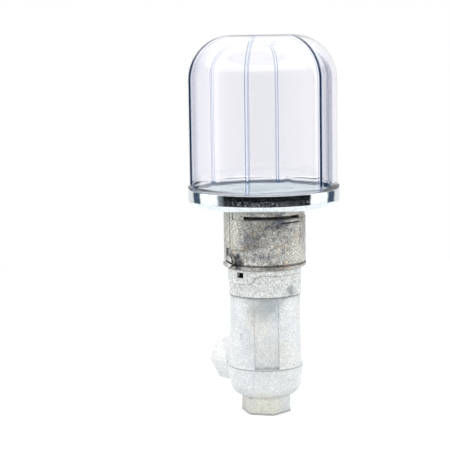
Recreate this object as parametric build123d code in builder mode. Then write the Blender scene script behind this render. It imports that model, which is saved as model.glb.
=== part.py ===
"""Constant level oiler: a clear reservoir bottle held upside down over a die-cast zinc body.

Millimetres. The origin is the centre of the hex foot's underside, and +Z is up, along the bottle's axis.
The front, where the wrench flat is, faces -Y.
"""

import os
from math import cos, radians, sin, tan

from build123d import *

# Clearances between pieces
press_gap = 0.04
running_gap = 0.06
free_gap = 0.3

# Lower body: a die casting with a hex foot, a rounded cup and a drafted barrel
hex_flats = 19.05
hex_turn = -12.0
foot_height = 8.0
foot_chamfer = 0.25
cup_height = 13.4
cup_radius = 16.6
cup_draft = 0.8
cup_corner = 5.6
lip_step = 0.45
lip_overhang = 0.3
lip_height = 0.5
lip_flare = 1.5
barrel_height = 31.8
barrel_narrowing = 0.65
sump_wall = 2.9
sump_floor = 3.0
spigot_height = 7.0
spigot_wall = 2.2
wrench_flat_width = 10.7
wrench_flat_depth = 1.35
wrench_flat_angle = -88.0
wrench_flat_margin = 0.8
cast_mark_radius = 1.4
cast_mark_height = 0.2
cast_mark_rise = 14.2
cast_mark_angle = 224.6

# Ports: both take the same tapered quarter-inch pipe thread
port_radius = 5.7
port_mouth = 0.8
side_port_angle = 130.5
side_port_rise = 10.0
side_port_length = 10.0

# Sleeve seated on the lower body's shoulder, and the seal between them
sleeve_wall = 1.2
sleeve_length = 26.8
seal_section = 1.32
seal_groove_width = 2.2
seal_rise = 2.4

# Level collar: a thin ring hung on the sleeve's top edge, with a wavy lower edge and a vent window
collar_wall = 0.3
collar_lip = 0.8
collar_lip_width = 1.3
collar_length = 20.8
collar_ramp_rise = 2.5
collar_high_rise = 3.8
collar_wave_angle = -2.0
ramp_start = -7.1
ramp_knee = -4.0
ramp_end = 3.7
vent_width = 3.4
vent_height = 2.4
vent_drop = 17.0
vent_angle = 229.5

# Upper casting: the neck that carries the bottle
neck_overlap = 14.3
neck_height = 26.6
neck_wall = 1.3
neck_upper_wall = 2.2
rim_height = 1.5
rim_width = 0.65
rim_round = 0.45
panel_raise = 0.32
panel_start = 219.4
panel_sweep = 180.0
panel_rise = 2.3
panel_height = 19.2
strip_groove_angle = 213.2
strip_groove_width = 0.5
strip_groove_depth = 0.3
strip_groove_drop = 1.0
pocket_start = 200.0
pocket_sweep = 41.0
pocket_height = 7.2
pocket_depth = 0.75
slot_left = 240.0
slot_right = 327.0
slot_drop = 3.3
slot_height = 1.45
slit_left = 294.0
slit_drop = 6.0
slit_height = 0.6

# Set screw that locks the upper casting
screw_radius = 2.55
screw_rise = 3.0
screw_angle = 213.5
screw_proud = 0.8
screw_chamfer = 0.25
screw_boss_wall = 0.6
screw_boss_proud = 0.4
screw_slot_width = 0.85
screw_slot_depth = 1.0
screw_slot_turn = -12.0

# Collar ring: a pressed steel cup with a rolled edge, round the foot of the bottle
ring_radius = 33.1
ring_height = 7.6
ring_sheet = 0.8
ring_corner = 2.4
ring_roll = 0.4

# Reservoir bottle: clear moulded plastic with six flat-arched panels meeting in ridges
bottle_swell = 0.1
bottle_panel_arc = 41.7
bottle_panels = 6
bottle_turn = -12.0
bottle_shoulder = 19.0
bottle_height = 71.3
bottle_wall = 2.3
bottle_flange_proud = 0.9
bottle_flange = 0.3
bottle_flare = 1.6
gasket_thickness = 1.6
gasket_width = 3.7

# Reservoir dish: the pressed floor inside the bottle, with a well round the outlet
dish_sheet = 0.8
dish_rise = 5.9
dish_corner = 3.4
well_radius = 14.5
well_slope = 1.6

# Outlet spout, and what clamps it through the dish and the ring
spout_radius = 5.0
spout_wall = 1.1
spout_flange_radius = 7.5
spout_flange = 0.8
spout_slant = 30.0
spout_washer = 0.5
hub_web = 4.0
hub_wall = 1.8
hub_lift = 1.5
nut_flats = 14.0
nut_height = 3.2
lock_washer_radius = 7.6
lock_washer_thickness = 0.8

# Level adjuster standing on the floor of the sump, under the spout
adjuster_foot_sheet = 1.0
adjuster_foot_gap = 1.0
adjuster_foot_hub = 3.8
adjuster_leg_width = 3.4
adjuster_legs = 3
adjuster_leg_angle = 30.0
stem_radius = 2.0
stem_length = 26.6
cross_arm_height = 3.0
cross_arm_hub = 4.2
cross_arm_reach = 9.2
cross_arm_width = 3.4
cross_arm_round = 1.2
wing_nut_height = 3.6
wing_nut_hub = 3.8
wing_reach = 7.6
wing_width = 2.0
wing_drop = 1.6
wing_height = 4.0
wing_angle = 60.0

# Heights and radii that follow from the sizes above
cup_top = foot_height + cup_height
shoulder_z = cup_top + barrel_height
lip_radius = cup_radius + lip_overhang
lip_top = cup_top + lip_height
flare_top = lip_top + lip_flare
barrel_radius = cup_radius - lip_step
barrel_top_radius = barrel_radius - barrel_narrowing
floor_z = foot_height + sump_floor
side_port_z = floor_z + side_port_rise
side_port_reach = cup_radius + side_port_length
sump_radius = barrel_top_radius - sump_wall
spigot_radius = sump_radius + spigot_wall
sleeve_inner = spigot_radius + press_gap
sleeve_outer = sleeve_inner + sleeve_wall
seal_centre = sleeve_inner - (seal_section + press_gap) / 2
sleeve_top = shoulder_z + sleeve_length
collar_inner = sleeve_outer + running_gap
collar_outer = collar_inner + collar_wall
collar_top = sleeve_top + collar_lip
collar_hole = collar_outer - collar_lip_width
collar_low_edge = sleeve_top - collar_length
collar_ramp_edge = collar_low_edge + collar_ramp_rise
collar_high_edge = collar_low_edge + collar_high_rise
vent_z = sleeve_top - vent_drop
neck_bore = collar_outer + running_gap
neck_radius = neck_bore + neck_wall
neck_bottom = sleeve_top - neck_overlap
neck_top = neck_bottom + neck_height
neck_upper_bore = neck_radius - neck_upper_wall
rim_top = neck_bottom + rim_height
panel_bottom = neck_bottom + panel_rise
pocket_top = rim_top + pocket_height
strip_groove_top = neck_top - strip_groove_drop
screw_z = neck_bottom + screw_rise
screw_boss_reach = neck_radius + screw_boss_proud
ring_floor = neck_top + ring_sheet
ring_top = neck_top + ring_height
bottle_foot = ring_floor + gasket_thickness
bottle_top = bottle_foot + bottle_height
bottle_band_radius = ring_radius - ring_sheet - free_gap
bottle_band_top = ring_top + free_gap
bottle_panel_radius = bottle_band_radius + bottle_swell
bottle_flange_radius = bottle_panel_radius + bottle_flange_proud
bottle_flange_top = bottle_band_top + bottle_flange
bottle_flare_top = bottle_flange_top + bottle_flare
bottle_bore = bottle_band_radius - bottle_wall
gasket_radius = ring_radius - ring_corner
dish_radius = bottle_bore - free_gap
dish_top = ring_floor + dish_rise
well_floor = ring_floor + dish_sheet
flange_z = well_floor + spout_washer
spout_bore = spout_radius - spout_wall
spout_hole = spout_radius + running_gap
hub_radius = neck_upper_bore - free_gap
hub_bottom = collar_top + hub_lift
web_bottom = neck_top - hub_web
nut_top = web_bottom - lock_washer_thickness
adjuster_foot_reach = sump_radius - adjuster_foot_gap
stem_top = floor_z + stem_length
cross_arm_top = stem_top + free_gap
cross_arm_bottom = cross_arm_top - cross_arm_height
wing_nut_bottom = cross_arm_bottom - wing_nut_height
spout_tip = cross_arm_top + free_gap
nut_bore = stem_radius + running_gap


def ring_sector(inner, outer, start, sweep):
    """Draws a band of a ring, between two radii and over an angle, in the sketch that is open."""
    a = radians(start)
    b = radians(start + sweep)
    with BuildLine() as outline:
        CenterArc((0, 0), outer, start, sweep)
        Line((outer * cos(b), outer * sin(b)), (inner * cos(b), inner * sin(b)))
        CenterArc((0, 0), inner, start, sweep)
        Line((inner * cos(a), inner * sin(a)), (outer * cos(a), outer * sin(a)))
    make_face(outline.edges())


def radial_plane(angle, height, distance=0.0):
    """A plane that faces outward at this angle and height, with its own x level and its own y up."""
    facing = Vector(cos(radians(angle)), sin(radians(angle)), 0)
    return Plane(
        origin=facing * distance + Vector(0, 0, height),
        x_dir=(-sin(radians(angle)), cos(radians(angle)), 0),
        z_dir=facing,
    )


def axial_plane(angle, shift=0.0):
    """A plane along the axis, its x outward at this angle and its y up, moved along its normal."""
    side = Vector(sin(radians(angle)), -cos(radians(angle)), 0)
    return Plane(origin=side * shift, x_dir=(cos(radians(angle)), sin(radians(angle)), 0), z_dir=side)


def arched_dome(inset, bottom):
    """The bottle's form, drawn in by inset: panels of a large radius that meet in ridges over the dome."""
    arc_centre = bottle_panel_radius - bottle_panel_arc
    panel = bottle_panel_radius - inset
    top = bottle_top - inset
    shoulder = bottle_shoulder - inset
    half_angle = radians(180 / bottle_panels)
    reach = 2 * bottle_panel_radius
    with BuildPart() as sector:
        with BuildSketch(Plane.XZ):
            with BuildLine():
                Line((arc_centre, bottom), (panel, bottom))
                Line((panel, bottom), (panel, top - shoulder))
                CenterArc((panel - shoulder, top - shoulder), shoulder, 0, 90)
                Line((panel - shoulder, top), (arc_centre, top))
                Line((arc_centre, top), (arc_centre, bottom))
            make_face()
        revolve(axis=Axis((arc_centre, 0, 0), (0, 0, 1)))
        with BuildSketch(Plane.XY.offset(bottom)):
            with BuildLine():
                Polyline(
                    (0, 0),
                    (reach, -reach * tan(half_angle)),
                    (reach, reach * tan(half_angle)),
                    close=True,
                )
            make_face()
        extrude(amount=top - bottom, mode=Mode.INTERSECT)
    with BuildPart() as dome:
        with PolarLocations(0, bottle_panels, start_angle=bottle_turn):
            add(sector.part)
    return dome.part


def wrench_flat(angle):
    """The solid that cuts one flat, from the lip to a ledge at the top, its floor along the draft."""
    low = barrel_radius - wrench_flat_depth
    high = barrel_top_radius - wrench_flat_depth
    outside = lip_radius + lip_overhang
    with BuildPart() as flat:
        with BuildSketch(axial_plane(angle, -wrench_flat_width / 2)):
            with BuildLine():
                Polyline(
                    (low, lip_top),
                    (outside, lip_top),
                    (outside, shoulder_z - wrench_flat_margin),
                    (high, shoulder_z - wrench_flat_margin),
                    close=True,
                )
            make_face()
        extrude(amount=wrench_flat_width)
    return flat.part


# Lower body
with BuildPart() as lower_body:
    with BuildSketch(Plane.XZ):
        with BuildLine():
            cup_base = cup_radius - cup_draft
            Line((0, foot_height), (cup_base - cup_corner, foot_height))
            CenterArc((cup_base - cup_corner, foot_height + cup_corner), cup_corner, 270, 90)
            Line((cup_base, foot_height + cup_corner), (cup_radius, cup_top))
            Line((cup_radius, cup_top), (lip_radius, cup_top))
            Line((lip_radius, cup_top), (lip_radius, lip_top))
            TangentArc((barrel_radius, flare_top), (lip_radius, lip_top), tangent=(0, -1))
            Line((barrel_radius, flare_top), (barrel_top_radius, shoulder_z))
            Line((barrel_top_radius, shoulder_z), (spigot_radius, shoulder_z))
            Line((spigot_radius, shoulder_z), (spigot_radius, shoulder_z + spigot_height))
            Line((spigot_radius, shoulder_z + spigot_height), (0, shoulder_z + spigot_height))
            Line((0, shoulder_z + spigot_height), (0, foot_height))
        make_face()
    revolve(axis=Axis.Z)
    for flat_angle in (wrench_flat_angle, wrench_flat_angle + 180):
        add(wrench_flat(flat_angle), mode=Mode.SUBTRACT)
    with BuildSketch(Plane.XY):
        RegularPolygon(hex_flats / 2, 6, major_radius=False, rotation=hex_turn)
    extrude(amount=foot_height)
    chamfer(faces().sort_by(Axis.Z)[0].edges(), foot_chamfer)
    side_face = radial_plane(side_port_angle, side_port_z, side_port_reach)
    with BuildSketch(side_face):
        RegularPolygon(hex_flats / 2, 6, major_radius=False)
    extrude(amount=sump_radius - side_port_reach)
    chamfer(faces().sort_by(Axis((0, 0, 0), side_face.z_dir))[-1].edges(), foot_chamfer)
    with BuildSketch(radial_plane(cast_mark_angle, cup_top + cast_mark_rise, sump_radius)):
        Circle(cast_mark_radius)
    cast_mark_draft = barrel_narrowing * cast_mark_rise / barrel_height
    extrude(amount=barrel_radius - cast_mark_draft + cast_mark_height - sump_radius)
    with BuildSketch(Plane.XY.offset(floor_z)):
        Circle(sump_radius)
    extrude(amount=shoulder_z + spigot_height - floor_z, mode=Mode.SUBTRACT)
    with BuildSketch(Plane.XZ):
        with BuildLine():
            Line((0, 0), (port_radius + port_mouth, 0))
            Line((port_radius + port_mouth, 0), (port_radius, port_mouth))
            Line((port_radius, port_mouth), (port_radius, floor_z))
            Line((port_radius, floor_z), (0, floor_z))
            Line((0, floor_z), (0, 0))
        make_face()
    revolve(axis=Axis.Z, mode=Mode.SUBTRACT)
    with BuildSketch(side_face):
        Circle(port_radius)
    extrude(amount=-side_port_reach, mode=Mode.SUBTRACT)
    with BuildSketch(side_face):
        Circle(port_radius + port_mouth)
    extrude(amount=-port_mouth, taper=45, mode=Mode.SUBTRACT)
    with BuildSketch(Plane.XY.offset(shoulder_z + seal_rise)):
        Circle(spigot_radius)
        Circle(sleeve_inner - press_gap - seal_section, mode=Mode.SUBTRACT)
    extrude(amount=seal_groove_width, mode=Mode.SUBTRACT)

# Sleeve seal: an O-ring in the spigot's groove
with BuildPart() as sleeve_seal:
    with BuildSketch(Plane.XZ):
        with Locations((seal_centre, shoulder_z + seal_rise + seal_groove_width / 2)):
            Circle((seal_section - press_gap) / 2)
    revolve(axis=Axis.Z)

# Sleeve
with BuildPart() as sleeve:
    with BuildSketch(Plane.XY.offset(shoulder_z)):
        Circle(sleeve_outer)
        Circle(sleeve_inner, mode=Mode.SUBTRACT)
    extrude(amount=sleeve_length)
    with BuildSketch(radial_plane(vent_angle, vent_z)):
        Rectangle(vent_width, vent_height)
    extrude(amount=sleeve_outer + sleeve_wall, mode=Mode.SUBTRACT)

# Level collar
with BuildPart() as level_collar:
    with BuildSketch(Plane.XZ):
        with BuildLine():
            Polyline(
                (collar_inner, collar_low_edge),
                (collar_outer, collar_low_edge),
                (collar_outer, collar_top),
                (collar_hole, collar_top),
                (collar_hole, sleeve_top),
                (collar_inner, sleeve_top),
                close=True,
            )
        make_face()
    revolve(axis=Axis.Z)
    with BuildSketch(axial_plane(collar_wave_angle, -2 * collar_outer)):
        with BuildLine():
            edge = Spline(
                (ramp_start, collar_low_edge),
                (ramp_knee, collar_ramp_edge),
                (ramp_end, collar_high_edge),
                tangents=((1, 0), (1, 0)),
            )
            Line(edge @ 1, (2 * collar_outer, collar_high_edge))
            Line((2 * collar_outer, collar_high_edge), (2 * collar_outer, collar_low_edge))
            Line((2 * collar_outer, collar_low_edge), edge @ 0)
        make_face()
    extrude(amount=4 * collar_outer, mode=Mode.SUBTRACT)
    with BuildSketch(radial_plane(vent_angle, vent_z)):
        Rectangle(vent_width, vent_height)
    extrude(amount=collar_outer + collar_wall, mode=Mode.SUBTRACT)

# Upper casting
with BuildPart() as upper_casting:
    with BuildSketch(Plane.XZ):
        with BuildLine():
            Polyline(
                (neck_bore, neck_bottom),
                (neck_radius + rim_width, neck_bottom),
                (neck_radius + rim_width, rim_top),
                (neck_radius, rim_top),
                (neck_radius, neck_top),
                (neck_upper_bore, neck_top),
                (neck_upper_bore, collar_top),
                (neck_bore, collar_top),
                close=True,
            )
        make_face()
    revolve(axis=Axis.Z)
    rim_edges = edges().filter_by(GeomType.CIRCLE).group_by(SortBy.RADIUS)[-1]
    fillet(rim_edges, rim_round)
    with BuildSketch(Plane.XY.offset(panel_bottom)):
        ring_sector(neck_radius - panel_raise, neck_radius + panel_raise, panel_start, panel_sweep)
    extrude(amount=panel_height)
    with BuildSketch(Plane.XY.offset(rim_top)):
        ring_sector(neck_radius - pocket_depth, neck_radius + rim_width, pocket_start, pocket_sweep)
    extrude(amount=pocket_height, mode=Mode.SUBTRACT)
    groove_sweep = strip_groove_width / radians(neck_radius)
    for groove_angle in (strip_groove_angle, panel_start):
        with BuildSketch(Plane.XY.offset(pocket_top)):
            ring_sector(
                neck_radius - strip_groove_depth,
                neck_radius + panel_raise,
                groove_angle - groove_sweep / 2,
                groove_sweep,
            )
        extrude(amount=strip_groove_top - pocket_top, mode=Mode.SUBTRACT)
    with BuildSketch(Plane.XY.offset(neck_top - slot_drop)):
        ring_sector(neck_upper_bore - neck_wall, neck_radius + neck_wall, slot_left, slot_right - slot_left)
    extrude(amount=-slot_height, mode=Mode.SUBTRACT)
    with BuildSketch(Plane.XY.offset(neck_top - slit_drop)):
        ring_sector(neck_upper_bore - neck_wall, neck_radius + neck_wall, slit_left, slot_right - slit_left)
    extrude(amount=-slit_height, mode=Mode.SUBTRACT)
    with BuildSketch(radial_plane(screw_angle, screw_z, neck_bore)):
        Circle(screw_radius + screw_boss_wall)
    extrude(amount=screw_boss_reach - neck_bore)
    with BuildSketch(Plane.XY.offset(neck_bottom - rim_height)):
        Circle(neck_bore)
    extrude(amount=collar_top - neck_bottom + rim_height, mode=Mode.SUBTRACT)
    with BuildSketch(radial_plane(screw_angle, screw_z)):
        Circle(screw_radius + running_gap)
    extrude(amount=screw_boss_reach + rim_width, mode=Mode.SUBTRACT)

# Set screw
with BuildPart() as set_screw:
    screw_end = screw_boss_reach + screw_proud
    with BuildSketch(radial_plane(screw_angle, screw_z, collar_outer + free_gap)):
        Circle(screw_radius)
    extrude(amount=screw_end - collar_outer - free_gap)
    screw_axis = Axis((0, 0, 0), (cos(radians(screw_angle)), sin(radians(screw_angle)), 0))
    chamfer(faces().sort_by(screw_axis)[-1].edges(), screw_chamfer)
    with BuildSketch(radial_plane(screw_angle, screw_z, screw_end)):
        Rectangle(3 * screw_radius, screw_slot_width, rotation=screw_slot_turn)
    extrude(amount=-screw_slot_depth, mode=Mode.SUBTRACT)

# Collar ring
with BuildPart() as collar_ring:
    with BuildSketch(Plane.XZ):
        with BuildLine():
            Line((spout_hole, neck_top), (ring_radius - ring_corner, neck_top))
            CenterArc((ring_radius - ring_corner, neck_top + ring_corner), ring_corner, 270, 90)
            Line((ring_radius, neck_top + ring_corner), (ring_radius, ring_top - ring_roll))
            CenterArc((ring_radius - ring_roll, ring_top - ring_roll), ring_roll, 0, 90)
            Line((ring_radius - ring_roll, ring_top), (ring_radius - ring_sheet, ring_top))
            Line((ring_radius - ring_sheet, ring_top), (ring_radius - ring_sheet, neck_top + ring_corner))
            CenterArc(
                (ring_radius - ring_corner, neck_top + ring_corner),
                ring_corner - ring_sheet,
                270,
                90,
            )
            Line((ring_radius - ring_corner, ring_floor), (spout_hole, ring_floor))
            Line((spout_hole, ring_floor), (spout_hole, neck_top))
        make_face()
    revolve(axis=Axis.Z)

# Bottle gasket
with BuildPart() as bottle_gasket:
    with BuildSketch(Plane.XY.offset(ring_floor)):
        Circle(gasket_radius)
        Circle(gasket_radius - gasket_width, mode=Mode.SUBTRACT)
    extrude(amount=gasket_thickness)

# Reservoir bottle: the arched form over a round foot, with a small flared flange above the ring
outer_form = arched_dome(0, bottle_flange_top)
inner_form = arched_dome(bottle_wall, bottle_band_top)
with BuildPart() as reservoir_bottle:
    add(outer_form)
    with BuildSketch(Plane.XZ):
        with BuildLine():
            Line((bottle_bore, bottle_foot), (bottle_band_radius, bottle_foot))
            Line((bottle_band_radius, bottle_foot), (bottle_band_radius, bottle_band_top))
            Line((bottle_band_radius, bottle_band_top), (bottle_flange_radius, bottle_band_top))
            Line((bottle_flange_radius, bottle_band_top), (bottle_flange_radius, bottle_flange_top))
            TangentArc(
                (bottle_panel_radius, bottle_flare_top),
                (bottle_flange_radius, bottle_flange_top),
                tangent=(0, -1),
            )
            Line((bottle_panel_radius, bottle_flare_top), (bottle_bore, bottle_flare_top))
            Line((bottle_bore, bottle_flare_top), (bottle_bore, bottle_foot))
        make_face()
    revolve(axis=Axis.Z)
    add(inner_form, mode=Mode.SUBTRACT)

# Reservoir dish
with BuildPart() as reservoir_dish:
    with BuildSketch(Plane.XZ):
        with BuildLine():
            corner_centre = (dish_radius - dish_corner, dish_top - dish_corner)
            underside = CenterArc(corner_centre, dish_corner - dish_sheet, 0, 90)
            topside = CenterArc(corner_centre, dish_corner, 0, 90)
            Polyline(
                underside @ 1,
                (well_radius, dish_top - dish_sheet),
                (well_radius - well_slope, ring_floor),
                (spout_hole, ring_floor),
                (spout_hole, well_floor),
                (well_radius - well_slope - dish_sheet, well_floor),
                (well_radius - dish_sheet, dish_top),
                topside @ 1,
            )
            Polyline(
                underside @ 0,
                (dish_radius - dish_sheet, bottle_foot),
                (dish_radius, bottle_foot),
                topside @ 0,
            )
        make_face()
    revolve(axis=Axis.Z)

# Spout washer: fibre, between the spout's flange and the dish
with BuildPart() as fibre_washer:
    with BuildSketch(Plane.XY.offset(well_floor)):
        Circle(spout_flange_radius)
        Circle(spout_hole, mode=Mode.SUBTRACT)
    extrude(amount=spout_washer)

# Feed spout: a flanged tube with a slanted mouth
with BuildPart() as feed_spout:
    with BuildSketch(Plane.XY.offset(spout_tip)):
        Circle(spout_radius)
    extrude(amount=flange_z - spout_tip)
    with BuildSketch(Plane.XY.offset(flange_z)):
        Circle(spout_flange_radius)
    extrude(amount=spout_flange)
    with BuildSketch(Plane.XY.offset(spout_tip)):
        Circle(spout_bore)
    extrude(amount=flange_z + spout_flange - spout_tip, mode=Mode.SUBTRACT)
    slant_rise = 2 * spout_radius * tan(radians(spout_slant))
    with BuildSketch(Plane.XZ.offset(-spout_radius)):
        with BuildLine():
            Polyline(
                (-spout_radius, spout_tip),
                (spout_radius, spout_tip),
                (spout_radius, spout_tip + slant_rise),
                close=True,
            )
        make_face()
    extrude(amount=2 * spout_radius, mode=Mode.SUBTRACT)

# Guide hub: centres the bottle's assembly in the neck
with BuildPart() as guide_hub:
    with BuildSketch(Plane.XY.offset(hub_bottom)):
        Circle(hub_radius)
    extrude(amount=neck_top - hub_bottom)
    with BuildSketch(Plane.XY.offset(hub_bottom)):
        Circle(hub_radius - hub_wall)
    extrude(amount=web_bottom - hub_bottom, mode=Mode.SUBTRACT)
    with BuildSketch(Plane.XY.offset(web_bottom)):
        Circle(spout_hole)
    extrude(amount=hub_web, mode=Mode.SUBTRACT)

# Lock washer under the hub's web
with BuildPart() as lock_washer:
    with BuildSketch(Plane.XY.offset(nut_top)):
        Circle(lock_washer_radius)
        Circle(spout_hole, mode=Mode.SUBTRACT)
    extrude(amount=lock_washer_thickness)

# Spout nut
with BuildPart() as spout_nut:
    with BuildSketch(Plane.XY.offset(nut_top - nut_height)):
        RegularPolygon(nut_flats / 2, 6, major_radius=False)
        Circle(spout_hole, mode=Mode.SUBTRACT)
    extrude(amount=nut_height)

# Adjuster foot: a pressed spider with three legs
with BuildPart() as adjuster_foot:
    with BuildSketch(Plane.XY.offset(floor_z)):
        Circle(adjuster_foot_hub)
        with PolarLocations(adjuster_foot_reach / 2, adjuster_legs, start_angle=adjuster_leg_angle):
            Rectangle(adjuster_foot_reach, adjuster_leg_width)
        Circle(stem_radius, mode=Mode.SUBTRACT)
    extrude(amount=adjuster_foot_sheet)

# Level stem
with BuildPart() as level_stem:
    with BuildSketch(Plane.XY.offset(floor_z)):
        Circle(stem_radius)
    extrude(amount=stem_length)

# Cross arm: the nut with two arms that the spout stands on
with BuildPart() as cross_arm:
    with BuildSketch(Plane.XY.offset(cross_arm_bottom)):
        Circle(cross_arm_hub)
        RectangleRounded(2 * cross_arm_reach, cross_arm_width, cross_arm_round)
        Circle(nut_bore, mode=Mode.SUBTRACT)
    extrude(amount=cross_arm_height)

# Lock wing nut under the cross arm
with BuildPart() as lock_wing_nut:
    with BuildSketch(Plane.XY.offset(wing_nut_bottom)):
        Circle(wing_nut_hub)
    extrude(amount=wing_nut_height)
    with BuildSketch(axial_plane(wing_angle, -wing_width / 2)):
        with BuildLine():
            Polyline(
                (-wing_nut_hub, wing_nut_bottom),
                (wing_nut_hub, wing_nut_bottom),
                (wing_reach, wing_nut_bottom - wing_drop),
                (wing_reach, wing_nut_bottom - wing_drop + wing_height),
                (wing_nut_hub, wing_nut_bottom + wing_nut_height),
                (-wing_nut_hub, wing_nut_bottom + wing_nut_height),
                (-wing_reach, wing_nut_bottom - wing_drop + wing_height),
                (-wing_reach, wing_nut_bottom - wing_drop),
                close=True,
            )
        make_face()
    extrude(amount=wing_width)
    with BuildSketch(Plane.XY.offset(wing_nut_bottom)):
        Circle(nut_bore)
    extrude(amount=wing_nut_height, mode=Mode.SUBTRACT)

# Write every piece under its own name
pieces = {
    "lower_body": lower_body,
    "sleeve_seal": sleeve_seal,
    "sleeve": sleeve,
    "level_collar": level_collar,
    "upper_casting": upper_casting,
    "set_screw": set_screw,
    "collar_ring": collar_ring,
    "bottle_gasket": bottle_gasket,
    "reservoir_bottle": reservoir_bottle,
    "reservoir_dish": reservoir_dish,
    "fibre_washer": fibre_washer,
    "feed_spout": feed_spout,
    "guide_hub": guide_hub,
    "lock_washer": lock_washer,
    "spout_nut": spout_nut,
    "adjuster_foot": adjuster_foot,
    "level_stem": level_stem,
    "cross_arm": cross_arm,
    "lock_wing_nut": lock_wing_nut,
}
os.makedirs("parts", exist_ok=True)
for name, piece in pieces.items():
    piece.part.label = name
    export_step(piece.part, f"parts/{name}.step")
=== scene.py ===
"""The looks of a constant level oiler: its clear bottle, bright ring and pale castings, on a pale floor."""

from math import atan2, cos, exp, pi, radians, sin, sqrt, tan

import bpy
from mathutils import Matrix, Vector


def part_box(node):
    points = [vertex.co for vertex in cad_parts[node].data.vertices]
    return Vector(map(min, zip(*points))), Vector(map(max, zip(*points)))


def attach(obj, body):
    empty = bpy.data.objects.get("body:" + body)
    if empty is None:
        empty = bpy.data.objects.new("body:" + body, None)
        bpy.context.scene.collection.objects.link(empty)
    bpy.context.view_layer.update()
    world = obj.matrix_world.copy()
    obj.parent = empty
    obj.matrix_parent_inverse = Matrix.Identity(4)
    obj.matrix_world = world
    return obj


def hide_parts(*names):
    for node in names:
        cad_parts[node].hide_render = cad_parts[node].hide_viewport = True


bl_info = {
    "name": "Constant level oiler",
    "version": (1, 0, 0),
    "blender": (4, 5, 0),
    "location": "View3D > Sidebar > Oiler",
    "description": "Builds the finished surfaces of a constant level oiler around its fixed frame",
    "category": "Object",
}

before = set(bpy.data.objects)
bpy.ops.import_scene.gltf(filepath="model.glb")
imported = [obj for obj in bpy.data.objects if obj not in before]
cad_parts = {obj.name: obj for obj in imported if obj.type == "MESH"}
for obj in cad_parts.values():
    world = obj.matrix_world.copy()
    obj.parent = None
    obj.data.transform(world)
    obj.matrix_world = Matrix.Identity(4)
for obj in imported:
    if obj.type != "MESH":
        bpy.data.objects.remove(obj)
MM = 0.001
RING_LOW, RING_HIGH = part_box("collar_ring")
BOTTLE_LOW, BOTTLE_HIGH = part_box("reservoir_bottle")


def linear(code):
    """The linear colour of an sRGB hex code such as #c0ffee."""
    parts = [int(code[i : i + 2], 16) / 255 for i in (1, 3, 5)]
    return tuple(c / 12.92 if c <= 0.04045 else ((c + 0.055) / 1.055) ** 2.4 for c in parts) + (1.0,)


class BottleSizes(bpy.types.PropertyGroup):
    """Sizes of the clear bottle."""

    panel: bpy.props.FloatProperty(
        name="Panel distance",
        description="From the axis to the middle of a panel",
        default=0.0321,
        unit="LENGTH",
    )
    arc: bpy.props.FloatProperty(
        name="Panel arc", description="Radius of a panel's own curve", default=0.0417, unit="LENGTH"
    )
    panels: bpy.props.IntProperty(
        name="Panels", description="Panels round the bottle", default=6, min=3
    )
    turn: bpy.props.FloatProperty(
        name="Turn",
        description="Angle of the first panel's middle",
        default=radians(-12),
        subtype="ANGLE",
    )
    shoulder: bpy.props.FloatProperty(
        name="Shoulder",
        description="Radius of the curve up to the flat top",
        default=0.019,
        unit="LENGTH",
    )
    wall: bpy.props.FloatProperty(
        name="Wall", description="Thickness", default=0.0023, unit="LENGTH"
    )
    band: bpy.props.FloatProperty(
        name="Foot band",
        description="Height of the round foot inside the ring",
        default=0.0055,
        unit="LENGTH",
    )
    flange: bpy.props.FloatProperty(
        name="Flange",
        description="Height of the small flange over the ring",
        default=0.0005,
        unit="LENGTH",
    )
    flange_radius: bpy.props.FloatProperty(
        name="Flange radius",
        description="From the axis to the flange's edge",
        default=0.033,
        unit="LENGTH",
    )
    flare: bpy.props.FloatProperty(
        name="Flare",
        description="Height of the curve from the flange to the panels",
        default=0.0016,
        unit="LENGTH",
    )
    ridge_round: bpy.props.FloatProperty(
        name="Ridge round", description="How softly two panels meet", default=0.00005, unit="LENGTH"
    )
    bead: bpy.props.FloatProperty(
        name="Ridge bead", description="Fullness of each ridge outside", default=0.00014, unit="LENGTH"
    )
    bead_width: bpy.props.FloatProperty(
        name="Bead width", description="Half width of each bead", default=0.0006, unit="LENGTH"
    )
    groove: bpy.props.FloatProperty(
        name="Ridge groove",
        description="Depth of the groove inside each ridge",
        default=0.00022,
        unit="LENGTH",
    )
    groove_width: bpy.props.FloatProperty(
        name="Groove width", description="Half width of each groove", default=0.0007, unit="LENGTH"
    )
    tint: bpy.props.FloatVectorProperty(
        name="Tint",
        description="Colour of light through the wall",
        subtype="COLOR",
        size=3,
        default=linear("#fafafd")[:3],
    )


class RingSizes(bpy.types.PropertyGroup):
    """Sizes of the rolled ring."""

    sheet: bpy.props.FloatProperty(
        name="Sheet", description="Thickness of the steel", default=0.0008, unit="LENGTH"
    )
    corner: bpy.props.FloatProperty(
        name="Corner", description="Lower outer corner", default=0.0027, unit="LENGTH"
    )
    roll: bpy.props.FloatProperty(
        name="Rolled edge", description="Upper outer corner", default=0.0006, unit="LENGTH"
    )
    groove: bpy.props.FloatProperty(
        name="Press line",
        description="Depth of the fine line over the lower corner",
        default=0.00015,
        unit="LENGTH",
    )
    crown: bpy.props.FloatProperty(
        name="Crown", description="Fullness of the side", default=0.00012, unit="LENGTH"
    )
    bore: bpy.props.FloatProperty(
        name="Bore", description="Hole for the spout", default=0.00506, unit="LENGTH"
    )


class CastingSizes(bpy.types.PropertyGroup):
    """Edges of the castings."""

    edge: bpy.props.FloatProperty(
        name="Edge", description="Rounding of cast edges", default=0.0003, unit="LENGTH"
    )
    fine_edge: bpy.props.FloatProperty(
        name="Fine edge", description="Rounding of small edges", default=0.00012, unit="LENGTH"
    )
    sheet_edge: bpy.props.FloatProperty(
        name="Sheet edge",
        description="Rounding of the level collar and the screw",
        default=0.00005,
        unit="LENGTH",
    )


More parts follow.
